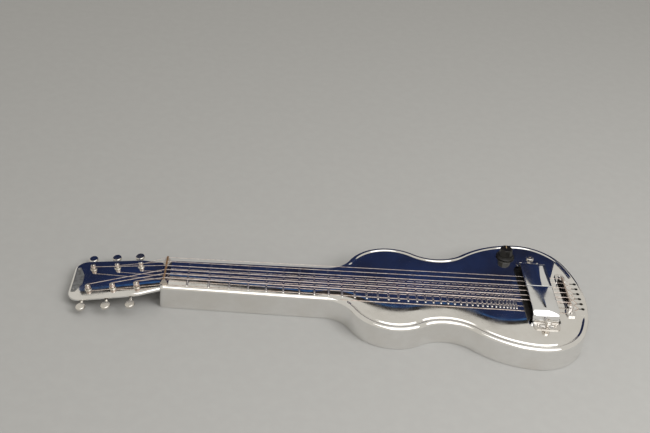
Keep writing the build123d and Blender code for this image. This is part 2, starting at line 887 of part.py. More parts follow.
with BuildPart() as tuner_plates:
    for side in (-1, 1):
        with BuildSketch(head_offset(plate_low)):
            with Locations(((plate_start_u + plate_end_u) / 2, side * post_v)):
                RectangleRounded(plate_start_u - plate_end_u, 2 * plate_half_width, 4)
            with Locations(*[(u, side * post_v) for u in post_us]):
                Circle(post_radius + 0.05, mode=Mode.SUBTRACT)
        extrude(amount=sheet)
        with BuildSketch(head_offset(plate_low)):
            for u in post_us:
                for end in (-1, 1):
                    with Locations((u - worm_offset, side * post_v + end * (ear_half - ear_thickness / 2))):
                        Rectangle(ear_width, ear_thickness)
        extrude(amount=-ear_reach)
    with BuildSketch(head_offset(-sheet)):
        with Locations(*tuner_screw_places):
            Circle(small_screw_radius + 0.05)
    extrude(amount=-sheet, mode=Mode.SUBTRACT)
    for u, v in post_places:
        bore = head_offset(key_axis_w, u - worm_offset, v)
        with BuildSketch(Plane(bore.origin, x_dir=bore.x_dir, z_dir=(0, 1, 0))):
            Circle(shaft_radius + 0.05)
        extrude(amount=ear_half + 1, both=True, mode=Mode.SUBTRACT)
write(tuner_plates, "tuner_plates")

with BuildPart() as tuner_plate_screws:
    with BuildSketch(head_offset(plate_low)):
        with Locations(*tuner_screw_places):
            Circle(small_screw_radius)
    extrude(amount=2 * sheet - tuner_screw_cover - 0.05)
    with BuildSketch(head_offset(plate_low)):
        with Locations(*tuner_screw_places):
            Circle(2.2)
    extrude(amount=-1.4)
write(tuner_plate_screws, "tuner_plate_screws")

with BuildPart() as post_ferrules:
    with BuildSketch(head_offset(0)):
        with Locations(*post_places):
            Circle(post_radius + 2.2)
            Circle(post_radius + 0.05, mode=Mode.SUBTRACT)
    extrude(amount=1.2)
    with BuildSketch(head_offset(0)):
        with Locations(*post_places):
            Circle(post_hole_radius - 0.05)
            Circle(post_radius + 0.05, mode=Mode.SUBTRACT)
    extrude(amount=-sheet)
write(post_ferrules, "post_ferrules")

for number, (u, v) in enumerate(post_places, start=1):
    outward = 1 if v > 0 else -1
    gear_low = key_axis_w - gear_thickness / 2
    with BuildPart() as post:
        with BuildSketch(head_offset(gear_low, u, v)):
            Circle(post_radius)
        extrude(amount=post_top - gear_low)
        chamfer(post.edges().filter_by(GeomType.CIRCLE).sort_by(Axis.Z)[-1], length=0.5)
        slot = head_offset(post_top, u, v)
        with BuildSketch(slot):
            Rectangle(1.0, 3 * post_radius)
        extrude(amount=-1.4, mode=Mode.SUBTRACT)
    write(post, "tuner_post_" + str(number))

    with BuildPart() as gear:
        with BuildSketch(head_offset(gear_low, u, v)):
            Circle(gear_radius - 0.9)
            with PolarLocations(gear_radius - 0.7, gear_teeth):
                Trapezoid(1.1, 1.4, 75, rotation=-90)
            Circle(post_radius, mode=Mode.SUBTRACT)
        extrude(amount=gear_thickness)
    write(gear, "tuner_gear_" + str(number))

    axis_origin = head_point(u - worm_offset, v, key_axis_w)
    axis = Plane(axis_origin, x_dir=head_frame.x_dir, z_dir=(0, outward, 0))
    worm_end = worm_length / 2
    with BuildPart() as key_shaft:
        with BuildSketch(axis.offset(-ear_half - 1.0)):
            Circle(shaft_radius)
        extrude(amount=ear_half + 1.0 + button_start + 3.0 - abs(v))
        with BuildSketch(axis.offset(-worm_end)):
            Circle(worm_radius - 0.5)
        extrude(amount=worm_length)
        for turn in range(5):
            with BuildSketch(axis.offset(-worm_end + 0.3 + turn * (worm_length - 1.2) / 4)):
                Circle(worm_radius)
            extrude(amount=0.6)
    write(key_shaft, "key_shaft_" + str(number))

    middle = axis.offset(button_start + 3.0 + button_length / 2 - abs(v))
    with BuildPart() as key_button:
        with BuildSketch(Plane(middle.origin, x_dir=(0, 1, 0), z_dir=head_frame.z_dir)):
            Ellipse(button_length / 2, button_width / 2)
        extrude(amount=button_thickness / 2, both=True)
        rims = key_button.edges().filter_by(lambda edge: edge.length > 3 * button_thickness)
        fillet(rims, radius=1.8)
        with BuildSketch(axis.offset(button_start - abs(v))):
            Circle(2.4)
        extrude(amount=5.0)
        with BuildSketch(axis.offset(button_start - abs(v))):
            Circle(shaft_radius + 0.01)
        extrude(amount=3.0, mode=Mode.SUBTRACT)
    write(key_button, "key_button_" + str(number))
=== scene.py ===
"""The looks of a hollow plated-metal lap steel guitar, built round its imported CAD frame.

Blender works in metres and the sizes below are in millimetres, so every mesh is scaled by MM as it
is made. X runs along the strings from the nut to the tail, +Y is the treble side, Z is up.
"""

import json
import math

import bmesh
import bpy
from mathutils import Matrix, Vector
from mathutils.geometry import delaunay_2d_cdt


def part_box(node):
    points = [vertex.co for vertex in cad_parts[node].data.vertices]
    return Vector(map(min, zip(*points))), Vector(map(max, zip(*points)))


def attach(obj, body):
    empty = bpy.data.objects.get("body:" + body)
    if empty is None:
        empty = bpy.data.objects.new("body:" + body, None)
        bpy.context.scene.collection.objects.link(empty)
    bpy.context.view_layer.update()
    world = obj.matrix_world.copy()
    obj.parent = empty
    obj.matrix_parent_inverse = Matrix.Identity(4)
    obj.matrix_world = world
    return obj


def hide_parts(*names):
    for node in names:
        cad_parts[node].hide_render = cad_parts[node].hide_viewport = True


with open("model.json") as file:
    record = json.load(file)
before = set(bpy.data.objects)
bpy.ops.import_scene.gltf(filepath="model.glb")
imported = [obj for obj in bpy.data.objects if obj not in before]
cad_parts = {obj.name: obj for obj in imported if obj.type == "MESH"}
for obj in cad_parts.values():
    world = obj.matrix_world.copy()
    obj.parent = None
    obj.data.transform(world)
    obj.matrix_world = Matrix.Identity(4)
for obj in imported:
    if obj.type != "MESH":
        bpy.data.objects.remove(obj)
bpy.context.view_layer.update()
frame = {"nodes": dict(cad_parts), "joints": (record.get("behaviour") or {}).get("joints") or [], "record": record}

MM = 0.001
BODIES = {node: body for body, nodes in frame["record"]["behaviour"]["bodies"].items() for node in nodes}
JOINTS = {joint["name"]: joint for joint in frame["joints"]}


def box(node):
    """Lowest and highest corner of a CAD node, in millimetres."""
    low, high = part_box(node)
    return low / MM, high / MM


# ---------------------------------------------------------------- sizes that the frame gives

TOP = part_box("pickup_base")[0].z / MM
PICKUP_X = (box("magnet_near")[0].x + box("magnet_near")[1].x) / 2
BRIDGE_X = (box("bridge")[0].x + box("bridge")[1].x) / 2
KNOB = Vector(JOINTS["volume_turn"]["pos_m"]) / MM
HEAD_UP = Vector(JOINTS["post_1_turn"]["axis"])
HEAD_ALONG = Vector((HEAD_UP.z, 0, -HEAD_UP.x))

# ---------------------------------------------------------------- sizes of the stamped shell

SHEET = 1.2
SCALE_LENGTH = 571.5
FRETS = 36
NECK_END_X = -6.0
NECK_HALF = 33.0
NECK_JOINT = (226.3, 37.3)
NECK_CORNER = 5.6
BOUT_ARCS = ((42.8, 60.0), (70.3, -93.3), (61.3, 71.6), (150.2, -35.1), (74.5, -70.6))
RIM_ROLL = 5.0
FLAT_INSET = 5.2
CHANNEL_START_X = 252.0
CHANNEL_TAPER = 7.0
CHANNEL_TAIL_HALF = 42.0
CHANNEL_TAIL_TAPER = 18.0
CHANNEL = (5.7, 12.4)
CHANNEL_INNER = 12.8
CHANNEL_DEPTH = 1.5
CHANNEL_LOWEST = 0.62
FRET_HALF = 28.2
FRET_GROWTH = 9.75
FRET_HALF_WIDTH = 1.7
FRET_HEIGHT = 0.9
PICKUP_OPENING = (44.0, 131.0)
ANCHOR_SLOT_X = 590.0
ANCHOR_HOLE_X = 596.8
ANCHOR_PITCH = 11.6
ANCHOR_SPREAD = 5 * ANCHOR_PITCH
ANCHOR_HOLE_RADIUS = 2.6
ANCHOR_SLOT_RADIUS = 0.9
OPENING_COLLAR = 0.25
CONTROL_HOLE_RADIUS = 4.9
SOCKET_HOLE_RADIUS = 5.4
HEAD_ORIGIN = Vector((NECK_END_X, 0, TOP - 4.0))
HEAD_FLANGE = 4.4
HEAD_ROLL = 3.6
HEAD_ROOT = (1.0, 31.0)
HEAD_FLARE = (-31.0, 40.6)
HEAD_FLARE_RADIUS = 50.0
HEAD_TIP = (-129.8, 44.8)
HEAD_TIP_RADIUS = 19.0
POST_HOLE_GAP = 0.9

STRING_DIAMETERS = (0.55, 0.65, 0.8, 1.0, 1.2, 1.45)
STRING_POSTS = (4, 5, 6, 3, 2, 1)
SPREAD_NUT = 47.6
SPREAD_BRIDGE = 55.4
STRING_Z = TOP + 10.0
POST_RADIUS = 2.6
COIL_TURNS = 3
COIL_TOP = 5.2
COIL_GAP = 0.1
ENTRY_BEND = 0.9
SADDLE_BEND = 1.2
WOUND_FROM = 1.0


def string_y(index, spread):
    """Where a string crosses a line of the given spread; index 0 is the treble string."""
    return spread / 2 - index * spread / 5


def fret_x(number):
    """A fret's distance from the nut in equal temperament."""
    return SCALE_LENGTH * (1 - 2 ** (-number / 12))


def smooth(t):
    """Smooth step from 0 to 1."""
    t = min(max(t, 0.0), 1.0)
    return t * t * (3 - 2 * t)


def head_matrix(origin=HEAD_ORIGIN):
    """The tilted head's frame at an origin: u along the head, v across it, w out of its face."""
    axes = Matrix((HEAD_ALONG, (0, 1, 0), HEAD_UP)).transposed()
    return Matrix.Translation(origin) @ axes.to_4x4()


# ---------------------------------------------------------------- mesh tools


def mesh_piece(name, points, faces, sharp=None):
    """A smooth-shaded mesh from points in millimetres; edges over `sharp` degrees stay sharp."""
    mesh = bpy.data.meshes.new(name)
    mesh.from_pydata([Vector(point) * MM for point in points], [], faces)
    work = bmesh.new()
    work.from_mesh(mesh)
    bmesh.ops.remove_doubles(work, verts=work.verts, dist=1e-7)
    bmesh.ops.recalc_face_normals(work, faces=work.faces)
    work.to_mesh(mesh)
    work.free()
    mesh.polygons.foreach_set("use_smooth", [True] * len(mesh.polygons))
    if sharp:
        mesh.set_sharp_from_angle(angle=math.radians(sharp))
    piece = bpy.data.objects.new(name, mesh)
    bpy.context.scene.collection.objects.link(piece)
    return piece


def soften(piece, width, segments=2, angle=35.0):
    """Rounds the edges of a piece, keeping its flat faces flat."""
    bevel = piece.modifiers.new("soft_edges", "BEVEL")
    bevel.width = width * MM
    bevel.segments = segments
    bevel.limit_method = "ANGLE"
    bevel.angle_limit = math.radians(angle)
    bevel.harden_normals = True
    return piece


def sharpen(piece, angle=40):
    """Shades a piece with crisp edges wherever its faces meet at more than the angle."""
    split = piece.modifiers.new("sharp_edges", "EDGE_SPLIT")
    split.split_angle = math.radians(angle)


def dress(piece, finish, *nodes):
    """Gives a new piece its finish and the body of the CAD nodes that it stands for, and hides those nodes."""
    piece.data.materials.clear()
    piece.data.materials.append(finish)
    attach(piece, BODIES[nodes[0]])
    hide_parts(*nodes)
    return piece


def keep(node, finish, width=0.0):
    """Shows a CAD node with a finish of its own, shaded smooth between its sharp edges."""
    shown = frame["nodes"][node]
    shown.data.materials.clear()
    shown.data.materials.append(finish)
    shown.data.polygons.foreach_set("material_index", [0] * len(shown.data.polygons))
    shown.data.polygons.foreach_set("use_smooth", [True] * len(shown.data.polygons))
    weld = shown.modifiers.new("weld", "WELD")
    weld.merge_threshold = 1e-6
    if width:
        soften(shown, width)
    sharpen(shown)
    return shown


def applied(piece):
    """Applies the modifiers of a piece to its mesh."""
    graph = bpy.context.evaluated_depsgraph_get()
    mesh = bpy.data.meshes.new_from_object(piece.evaluated_get(graph))
    piece.modifiers.clear()
    piece.data = mesh
    return piece


def lathe(name, profile, place=Matrix.Identity(4), sides=48, sharp=35):
    """Turns a profile of (radius, height) points about the z axis of a place."""
    points, faces, rings = [], [], []
    for radius, height in profile:
        ring = []
        for side in range(sides if radius else 1):
            turn = 2 * math.pi * side / sides
            ring.append(len(points))
            points.append(place @ Vector((radius * math.cos(turn), radius * math.sin(turn), height)))
        rings.append(ring)
    for low, high in zip(rings, rings[1:]):
        for side in range(sides):
            after = (side + 1) % sides
            lower = [low[side % len(low)], low[after % len(low)]]
            upper = [high[after % len(high)], high[side % len(high)]]
            faces.append(list(dict.fromkeys(lower + upper)))
    return mesh_piece(name, points, faces, sharp)


def prism(name, outline, low, high, place=Matrix.Identity(4), sharp=35):
    """A closed outline of (x, y) points raised from low to high in a place."""
    count = len(outline)
    points = [place @ Vector((x, y, z)) for z in (low, high) for x, y in outline]
    faces = [list(range(count)), list(range(count, 2 * count))]
    for corner in range(count):
        after = (corner + 1) % count
        faces.append([corner, after, count + after, count + corner])
    return mesh_piece(name, points, faces, sharp)


def tube(name, path, radii, sides=10):
    """A closed round wire along a path, with a radius at each point."""
    points, faces = [], []
    side = Vector((0, 1, 0))
    for number, point in enumerate(path):
        before = path[max(number - 1, 0)]
        after = path[min(number + 1, len(path) - 1)]
        along = (after - before).normalized()
        side = (side - along * side.dot(along)).normalized()
        other = along.cross(side)
        for turn in range(sides):
            angle = 2 * math.pi * turn / sides
            points.append(point + radii[number] * (side * math.cos(angle) + other * math.sin(angle)))
    for number in range(len(path) - 1):
        for turn in range(sides):
            after = (turn + 1) % sides
            base = number * sides
            faces.append([base + turn, base + after, base + sides + after, base + sides + turn])
    faces.append(list(range(sides)))
    faces.append(list(range(len(points) - sides, len(points))))
    return mesh_piece(name, points, faces, 50)


def rounded_box(half_x, half_y, radius, steps=6):
    """Outline of a rectangle with round corners."""
    outline = []
    for quarter, (sign_x, sign_y) in enumerate(((1, 1), (-1, 1), (-1, -1), (1, -1))):
        for step in range(steps + 1):
            angle = math.radians(90 * (quarter + step / steps))
            x = sign_x * (half_x - radius) + radius * math.cos(angle)
            y = sign_y * (half_y - radius) + radius * math.sin(angle)
            outline.append((x, y))
    return outline


def circle(x, y, radius, sides=40):
    """Outline of a circle."""
    turns = [2 * math.pi * side / sides for side in range(sides)]
    return [(x + radius * math.cos(turn), y + radius * math.sin(turn)) for turn in turns]


def inside(x, y, loop):
    """Whether a point lies inside a closed loop."""
    crossed = False
    for (x0, y0), (x1, y1) in zip(loop, loop[1:] + loop[:1]):
        if (y0 > y) != (y1 > y) and x < x0 + (x1 - x0) * (y - y0) / (y1 - y0):
            crossed = not crossed
    return crossed


def filled(loops):
    """Triangles of the region inside the first loop and outside the others, as (points, faces)."""
    points, edges = [], []
    for loop in loops:
        base = len(points)
        points += [Vector(point) for point in loop]
        edges += [(base + i, base + (i + 1) % len(loop)) for i in range(len(loop))]
    constrained_only, tolerance = 1, 1e-6
    made = delaunay_2d_cdt(points, edges, [], constrained_only, tolerance)
    corners, triangles = made[0], made[2]
    holes = []
    for loop in loops[1:]:
        xs, ys = zip(*loop)
        holes.append((min(xs), max(xs), min(ys), max(ys), loop))
    kept = []
    for triangle in triangles:
        x, y = (sum(corners[corner][axis] for corner in triangle) / len(triangle) for axis in (0, 1))
        near = [loop for x0, x1, y0, y1, loop in holes if x0 < x < x1 and y0 < y < y1]
        if not any(inside(x, y, loop) for loop in near):
            kept.append(triangle)
    return corners, kept


# ---------------------------------------------------------------- stamped shell


def trace(start, heading, moves, line_step=14.0, arc_step=1.5):
    """Samples a path of lines (length,) and arcs (radius, turn) as (x, y, heading in radians)."""
    x, y = start
    angle = math.radians(heading)
    samples = [(x, y, angle)]
    for move in moves:
        if len(move) == 1:
            steps = max(1, round(move[0] / line_step))
            for _ in range(steps):
                x += move[0] / steps * math.cos(angle)
                y += move[0] / steps * math.sin(angle)
                samples.append((x, y, angle))
            continue
        radius, turn = move[0], math.radians(move[1])
        side = math.copysign(1, turn)
        centre_x = x - side * radius * math.sin(angle)
        centre_y = y + side * radius * math.cos(angle)
        steps = max(2, round(abs(move[1]) / arc_step))
        for step in range(1, steps + 1):
            now = angle + turn * step / steps
            x = centre_x + side * radius * math.sin(now)
            y = centre_y - side * radius * math.cos(now)
            samples.append((x, y, now))
        x, y, angle = samples[-1]
    return samples


def closed_by_mirror(samples):
    """A half outline and its mirror image as one loop of (x, y, inward x, inward y)."""
    upper = [(x, y, math.sin(angle), -math.cos(angle)) for x, y, angle in samples]
    lower = [(x, -y, in_x, -in_y) for x, y, in_x, in_y in reversed(upper[1:-1])]
    return upper + lower


def body_outline():
    """The body's outline, from the middle of the neck end round the treble side to the tail and back."""
    rise = math.degrees(math.atan2(NECK_JOINT[1] - NECK_HALF, NECK_JOINT[0] - NECK_END_X))
    corner = NECK_CORNER * math.tan(math.radians((90 - rise) / 2))
    edge = math.hypot(NECK_JOINT[0] - NECK_END_X, NECK_JOINT[1] - NECK_HALF)
    moves = [(NECK_HALF - corner,), (NECK_CORNER, rise - 90), (edge - corner,), *BOUT_ARCS]
    _, half, heading = trace((NECK_END_X, 0), 90, moves)[-1]
    closing = math.degrees(heading) + 90
    moves.append((half / math.sin(math.radians(closing)), -closing))
    return closed_by_mirror(trace((NECK_END_X, 0), 90, moves))


def inset(sample, distance):
    """An outline sample moved inwards."""
    x, y, in_x, in_y = sample
    return x + distance * in_x, y + distance * in_y


def roll_profile(top, bottom, radius, steps=10):
    """(inset, height) from the foot of a wall up and round a rolled edge to the flat."""
    foot, lip = 0.5, 0.2
    profile = [(0, bottom), (0, bottom + foot), (0, top - radius)]
    for step in range(1, steps + 1):
        angle = math.pi / 2 * step / steps
        profile.append((radius * (1 - math.cos(angle)), top - radius + radius * math.sin(angle)))
    profile.append((radius + lip, top))
    return profile


def fret_ridges():
    """The stamped frets as rings of points from the flat up to the crest, one list for each fret."""
    shares = [0, 0.1, 0.25, 0.4, 0.55, 0.7, 0.85]
    rim_gap = 0.4
    slope = (NECK_JOINT[1] - NECK_HALF) / (NECK_JOINT[0] - NECK_END_X)
    frets = []
    for number in range(1, FRETS + 1):
        x = fret_x(number)
        widest = NECK_HALF + slope * (x - NECK_END_X) - RIM_ROLL - rim_gap
        reach = FRET_HALF + FRET_GROWTH * x / SCALE_LENGTH
        half = min(reach, widest) if x < NECK_JOINT[0] else reach
        rings = []
        for share in shares:
            radius = FRET_HALF_WIDTH * (1 - share)
            height = TOP + FRET_HEIGHT * math.sin(math.pi / 2 * smooth((share - 0.1) / 0.75))
            ring = []
            for sign in (1, -1):
                for step in range(9):
                    angle = math.pi * step / 8 + (0 if sign > 0 else math.pi)
                    end = sign * (half - FRET_HALF_WIDTH)
                    ring.append((x + radius * math.cos(angle), end + radius * math.sin(angle), height))
            rings.append(ring)
        frets.append(rings)
    return frets


def teardrop(y, grow=0.0):
    """A string anchor: a round hole for the ball end that narrows to a slot."""
    hole, slot = ANCHOR_HOLE_RADIUS + grow, ANCHOR_SLOT_RADIUS + grow
    lean = math.asin(slot / hole)
    outline = []
    for step in range(25):
        angle = -math.pi + lean + (2 * math.pi - 2 * lean) * step / 24
        outline.append((ANCHOR_HOLE_X + hole * math.cos(angle), y + hole * math.sin(angle)))
    for step in range(9):
        angle = math.pi / 2 + math.pi * step / 8
        outline.append((ANCHOR_SLOT_X + slot * math.cos(angle), y + slot * math.sin(angle)))
    return outline


def pickup_opening(grow):
    """Outline of the opening under the pickup, widened by `grow`."""
    half_x, half_y, corner = PICKUP_OPENING[0] / 2 + grow, PICKUP_OPENING[1] / 2 + grow, 2.0 + grow
    return [(PICKUP_X + x, y) for x, y in rounded_box(half_x, half_y, corner)]


def body_mesh():
    """Points and faces of the body: walls, rolled rim, channel, flat top with its frets and openings."""
    outline = body_outline()
    count = len(outline)
    profile = roll_profile(TOP, 0, RIM_ROLL)
    points, faces = [], []

    def strip(columns, rings, closed):
        """Joins columns of points that all have the same number of rings."""
        base = len(points)
        for column in columns:
            points.extend(column)
        for number in range(len(columns) if closed else len(columns) - 1):
            here = base + number * rings
            there = base + ((number + 1) % len(columns)) * rings
            for ring in range(rings - 1):
                faces.append([here + ring, here + ring + 1, there + ring + 1, there + ring])

    # the foot of the wall is left out where the output socket's patch goes
    tail = max(range(count), key=lambda i: outline[i][0])
    patch_half = 4
    patch = [outline[tail + step] for step in range(-patch_half, patch_half + 1)]
    wall_low, wall_high = profile[1][1], profile[2][1]
    strip([[(*inset(s, d), z) for d, z in profile[:2]] for s in outline], 2, True)
    strip([[(*inset(s, d), z) for d, z in profile[2:]] for s in outline], len(profile) - 2, True)
    wall = [outline[(tail + patch_half + step) % count] for step in range(count - 2 * patch_half + 1)]
    strip([[(*inset(s, d), z) for d, z in profile[1:3]] for s in wall], 2, False)
    socket_z = (box("jack_nut")[0].z + box("jack_nut")[1].z) / 2
    patch_loop = [(s[1], wall_low) for s in patch] + [(s[1], wall_high) for s in reversed(patch)]
    tail_x = outline[tail][0]
    patch_x, patch_y = patch[0][:2]
    tail_radius = math.hypot(patch_x - tail_x, patch_y) ** 2 / (2 * (tail_x - patch_x))
    centre_x = tail_x - tail_radius
    flat, triangles = filled([patch_loop, circle(0, socket_z, SOCKET_HOLE_RADIUS, 32)])
    base = len(points)
    points.extend((centre_x + math.sqrt(tail_radius**2 - y * y), y, z) for y, z in flat)
    faces.extend([base + corner for corner in face] for face in triangles)

    # a channel runs round the bouts on each side, fading out at the neck and beside the string anchors
    start = next(i for i in range(count) if outline[i][0] >= CHANNEL_START_X)
    end = max(i for i in range(tail) if outline[i][1] >= CHANNEL_TAIL_HALF)
    sides = [range(start, end + 1), range(count - end, count - start + 1)]
    shares = [step / 16 for step in range(17)]
    channels = []
    for side in sides:
        columns = []
        for number in side:
            x, y = outline[number][:2]
            fade = smooth((x - CHANNEL_START_X) / CHANNEL_TAPER)
            if x > PICKUP_X:
                fade = smooth((abs(y) - CHANNEL_TAIL_HALF) / CHANNEL_TAIL_TAPER)
            column = [(*inset(outline[number], FLAT_INSET), TOP)]
            for share in shares:
                sunk = smooth(min(share / CHANNEL_LOWEST, (1 - share) / (1 - CHANNEL_LOWEST)))
                across = CHANNEL[0] + (CHANNEL[1] - CHANNEL[0]) * share
                column.append((*inset(outline[number], across), TOP - CHANNEL_DEPTH * fade * sunk))
            column.append((*inset(outline[number], CHANNEL_INNER), TOP))
            columns.append(column)
        strip(columns, len(columns[0]), False)
        channels.append(columns)

    # the flat inside them, with an opening for each fret, string anchor, the pickup and the control
    plain = [inset(s, FLAT_INSET) for s in outline]
    edge = plain[: start + 1]
    for columns, after in zip(channels, (plain[end + 1 : count - end + 1], plain[count - start + 1 :])):
        edge += [point[:2] for point in columns[0][1:]]
        edge += [column[-1][:2] for column in columns[1:]]
        edge += [point[:2] for point in reversed(columns[-1][:-1])]
        edge += after
    frets = fret_ridges()
    growths = (OPENING_COLLAR, 0)
    openings = [[circle(KNOB.x, KNOB.y, CONTROL_HOLE_RADIUS + grow) for grow in growths]]
    for index in range(6):
        openings.append([teardrop(string_y(index, ANCHOR_SPREAD), grow) for grow in growths])
    openings.append([pickup_opening(grow) for grow in growths])
    loops = [edge]
    loops += [[point[:2] for point in rings[0]] for rings in frets]
    loops += [outer for outer, _ in openings]
    flat, triangles = filled(loops)
    base = len(points)
    points.extend((x, y, TOP) for x, y in flat)
    faces.extend([base + corner for corner in face] for face in triangles)
    for outer, inner in openings:
        strip([[(*a, TOP), (*b, TOP)] for a, b in zip(outer, inner)], 2, True)
    for rings in frets:
        strip([list(column) for column in zip(*rings)], len(rings), True)
        base = len(points)
        points.extend(rings[-1])
        faces.append(list(range(base, base + len(rings[-1]))))
    return points, faces


def head_outline():
    """The head's outline from the root on the treble side round the tip and back to the root."""
    first = math.degrees(math.atan2(HEAD_FLARE[1] - HEAD_ROOT[1], HEAD_FLARE[0] - HEAD_ROOT[0]))
    second = math.degrees(math.atan2(HEAD_TIP[1] - HEAD_FLARE[1], HEAD_TIP[0] - HEAD_FLARE[0]))
    flare_turn = second - first
    flare_trim = HEAD_FLARE_RADIUS * math.tan(math.radians(abs(flare_turn) / 2))
    corner_turn = 270 - second
    corner_trim = HEAD_TIP_RADIUS * math.tan(math.radians(corner_turn / 2))
    moves = [
        (math.dist(HEAD_ROOT, HEAD_FLARE) - flare_trim,),
        (HEAD_FLARE_RADIUS, flare_turn),
        (math.dist(HEAD_FLARE, HEAD_TIP) - flare_trim - corner_trim,),
        (HEAD_TIP_RADIUS, corner_turn),
        (HEAD_TIP[1] - corner_trim,),
    ]
    path = trace(HEAD_ROOT, first, moves, arc_step=3.0)
    upper = [(u, v, -math.sin(angle), math.cos(angle)) for u, v, angle in path]
    lower = [(u, -v, in_u, -in_v) for u, v, in_u, in_v in reversed(upper[:-1])]
    return upper + lower


def head_mesh():
    """Points and faces of the head: a shallow tray with rolled edges, let into the neck's end wall."""
    outline = head_outline()
    profile = roll_profile(0, -HEAD_FLANGE, HEAD_ROLL)
    place = head_matrix()
    points, faces = [], []
    for number, sample in enumerate(outline):
        at_root = number in (0, len(outline) - 1)
        for distance, height in profile:
            u, v = inset(sample, distance)
            points.append(place @ Vector((sample[0] if at_root else u, v, height)))
    rings = len(profile)
    for number in range(len(outline) - 1):
        here, there = number * rings, (number + 1) * rings
        faces += [[here + ring, here + ring + 1, there + ring + 1, there + ring] for ring in range(rings - 1)]
    flat_inset = profile[-1][0]
    edge = [inset(sample, flat_inset) for sample in outline]
    edge[0] = (outline[0][0], edge[0][1])
    edge[-1] = (outline[-1][0], edge[-1][1])
    to_head = place.inverted()
    posts = [to_head @ (Vector(JOINTS["post_%d_turn" % number]["pos_m"]) / MM) for number in range(1, 7)]
    loops = [edge] + [circle(post.x, post.y, POST_RADIUS + POST_HOLE_GAP) for post in posts]
    flat, triangles = filled(loops)
    base = len(points)
    points += [place @ Vector((u, v, 0)) for u, v in flat]
    faces += [[base + corner for corner in face] for face in triangles]
    return points, faces


def make_shell(finish):
    """The whole plated shell, given the thickness of its sheet."""
    points, faces = body_mesh()
    head_points, head_faces = head_mesh()
    base = len(points)
    faces += [[base + corner for corner in face] for face in head_faces]
    shell = mesh_piece("polished_shell", points + head_points, faces)
    sheet = shell.modifiers.new("sheet", "SOLIDIFY")
    sheet.thickness = SHEET * MM
    sheet.offset = -1
    sharpen(shell)
    return dress(shell, finish, "top_shell")


# ---------------------------------------------------------------- strings


def bend(before, corner, after, radius, steps=6):
    """Rounds a corner of a wire with a short curve."""
    start = corner + (before - corner).normalized() * radius
    end = corner + (after - corner).normalized() * radius
    curve = []
    for step in range(steps + 1):
        t = step / steps
        curve.append(start * (1 - t) ** 2 + corner * 2 * t * (1 - t) + end * t**2)
    return curve


def make_string(index, finish):
    """One string: anchor, bridge, nut, then its turns round the post. Thick ones are wound."""
    radius = STRING_DIAMETERS[index] / 2
    post = Vector(JOINTS["post_%d_turn" % STRING_POSTS[index]]["pos_m"]) / MM
    side = math.copysign(1, post.y)
    place = head_matrix(post)
    wrap = POST_RADIUS + COIL_GAP + radius
    top_turn = COIL_TOP + (COIL_TURNS - 1) * radius
    helix = []
    steps = 28
    for step in range(COIL_TURNS * steps + 1):
        turn = -side * (math.pi / 2 + 2 * math.pi * step / steps)
        height = top_turn - 2 * radius * 1.02 * step / steps
        helix.append(place @ Vector((wrap * math.cos(turn), wrap * math.sin(turn), height)))
    anchor_y = string_y(index, ANCHOR_SPREAD)
    nut = Vector((0, string_y(index, SPREAD_NUT), STRING_Z))
    bridge = Vector((BRIDGE_X, string_y(index, SPREAD_BRIDGE), STRING_Z))
    entry = Vector((ANCHOR_SLOT_X, anchor_y, TOP + 1.0))
    foot = Vector((ANCHOR_SLOT_X, anchor_y, TOP - 5.0))
    corners = [foot]
    corners += bend(foot, entry, bridge, ENTRY_BEND)
    corners += bend(entry, bridge, nut, SADDLE_BEND)
    corners += bend(bridge, nut, helix[0], SADDLE_BEND)
    corners += helix
    name = "wire_%d" % (index + 1)
    if STRING_DIAMETERS[index] < WOUND_FROM:
        return tube(name, corners, [radius] * len(corners), 12)
    pitch = radius * 0.6
    path = [corners[0]]
    for before, after in zip(corners, corners[1:]):
        pieces = max(1, round((after - before).length / (pitch / 2)))
        path += [before.lerp(after, number / pieces) for number in range(1, pieces + 1)]
    radii = [radius * (1.0 if number % 2 else 0.9) for number in range(len(path))]
    return tube(name, path, radii, 8)


# ---------------------------------------------------------------- knob and nameplate


def joined(name, *parts):
    """One mesh of several pieces, which are deleted."""
    work = bmesh.new()
    for part in parts:
        work.from_mesh(applied(part).data)
        bpy.data.objects.remove(part)
    mesh = bpy.data.meshes.new(name)
    work.to_mesh(mesh)
    work.free()
    piece = bpy.data.objects.new(name, mesh)
    bpy.context.scene.collection.objects.link(piece)
    return piece


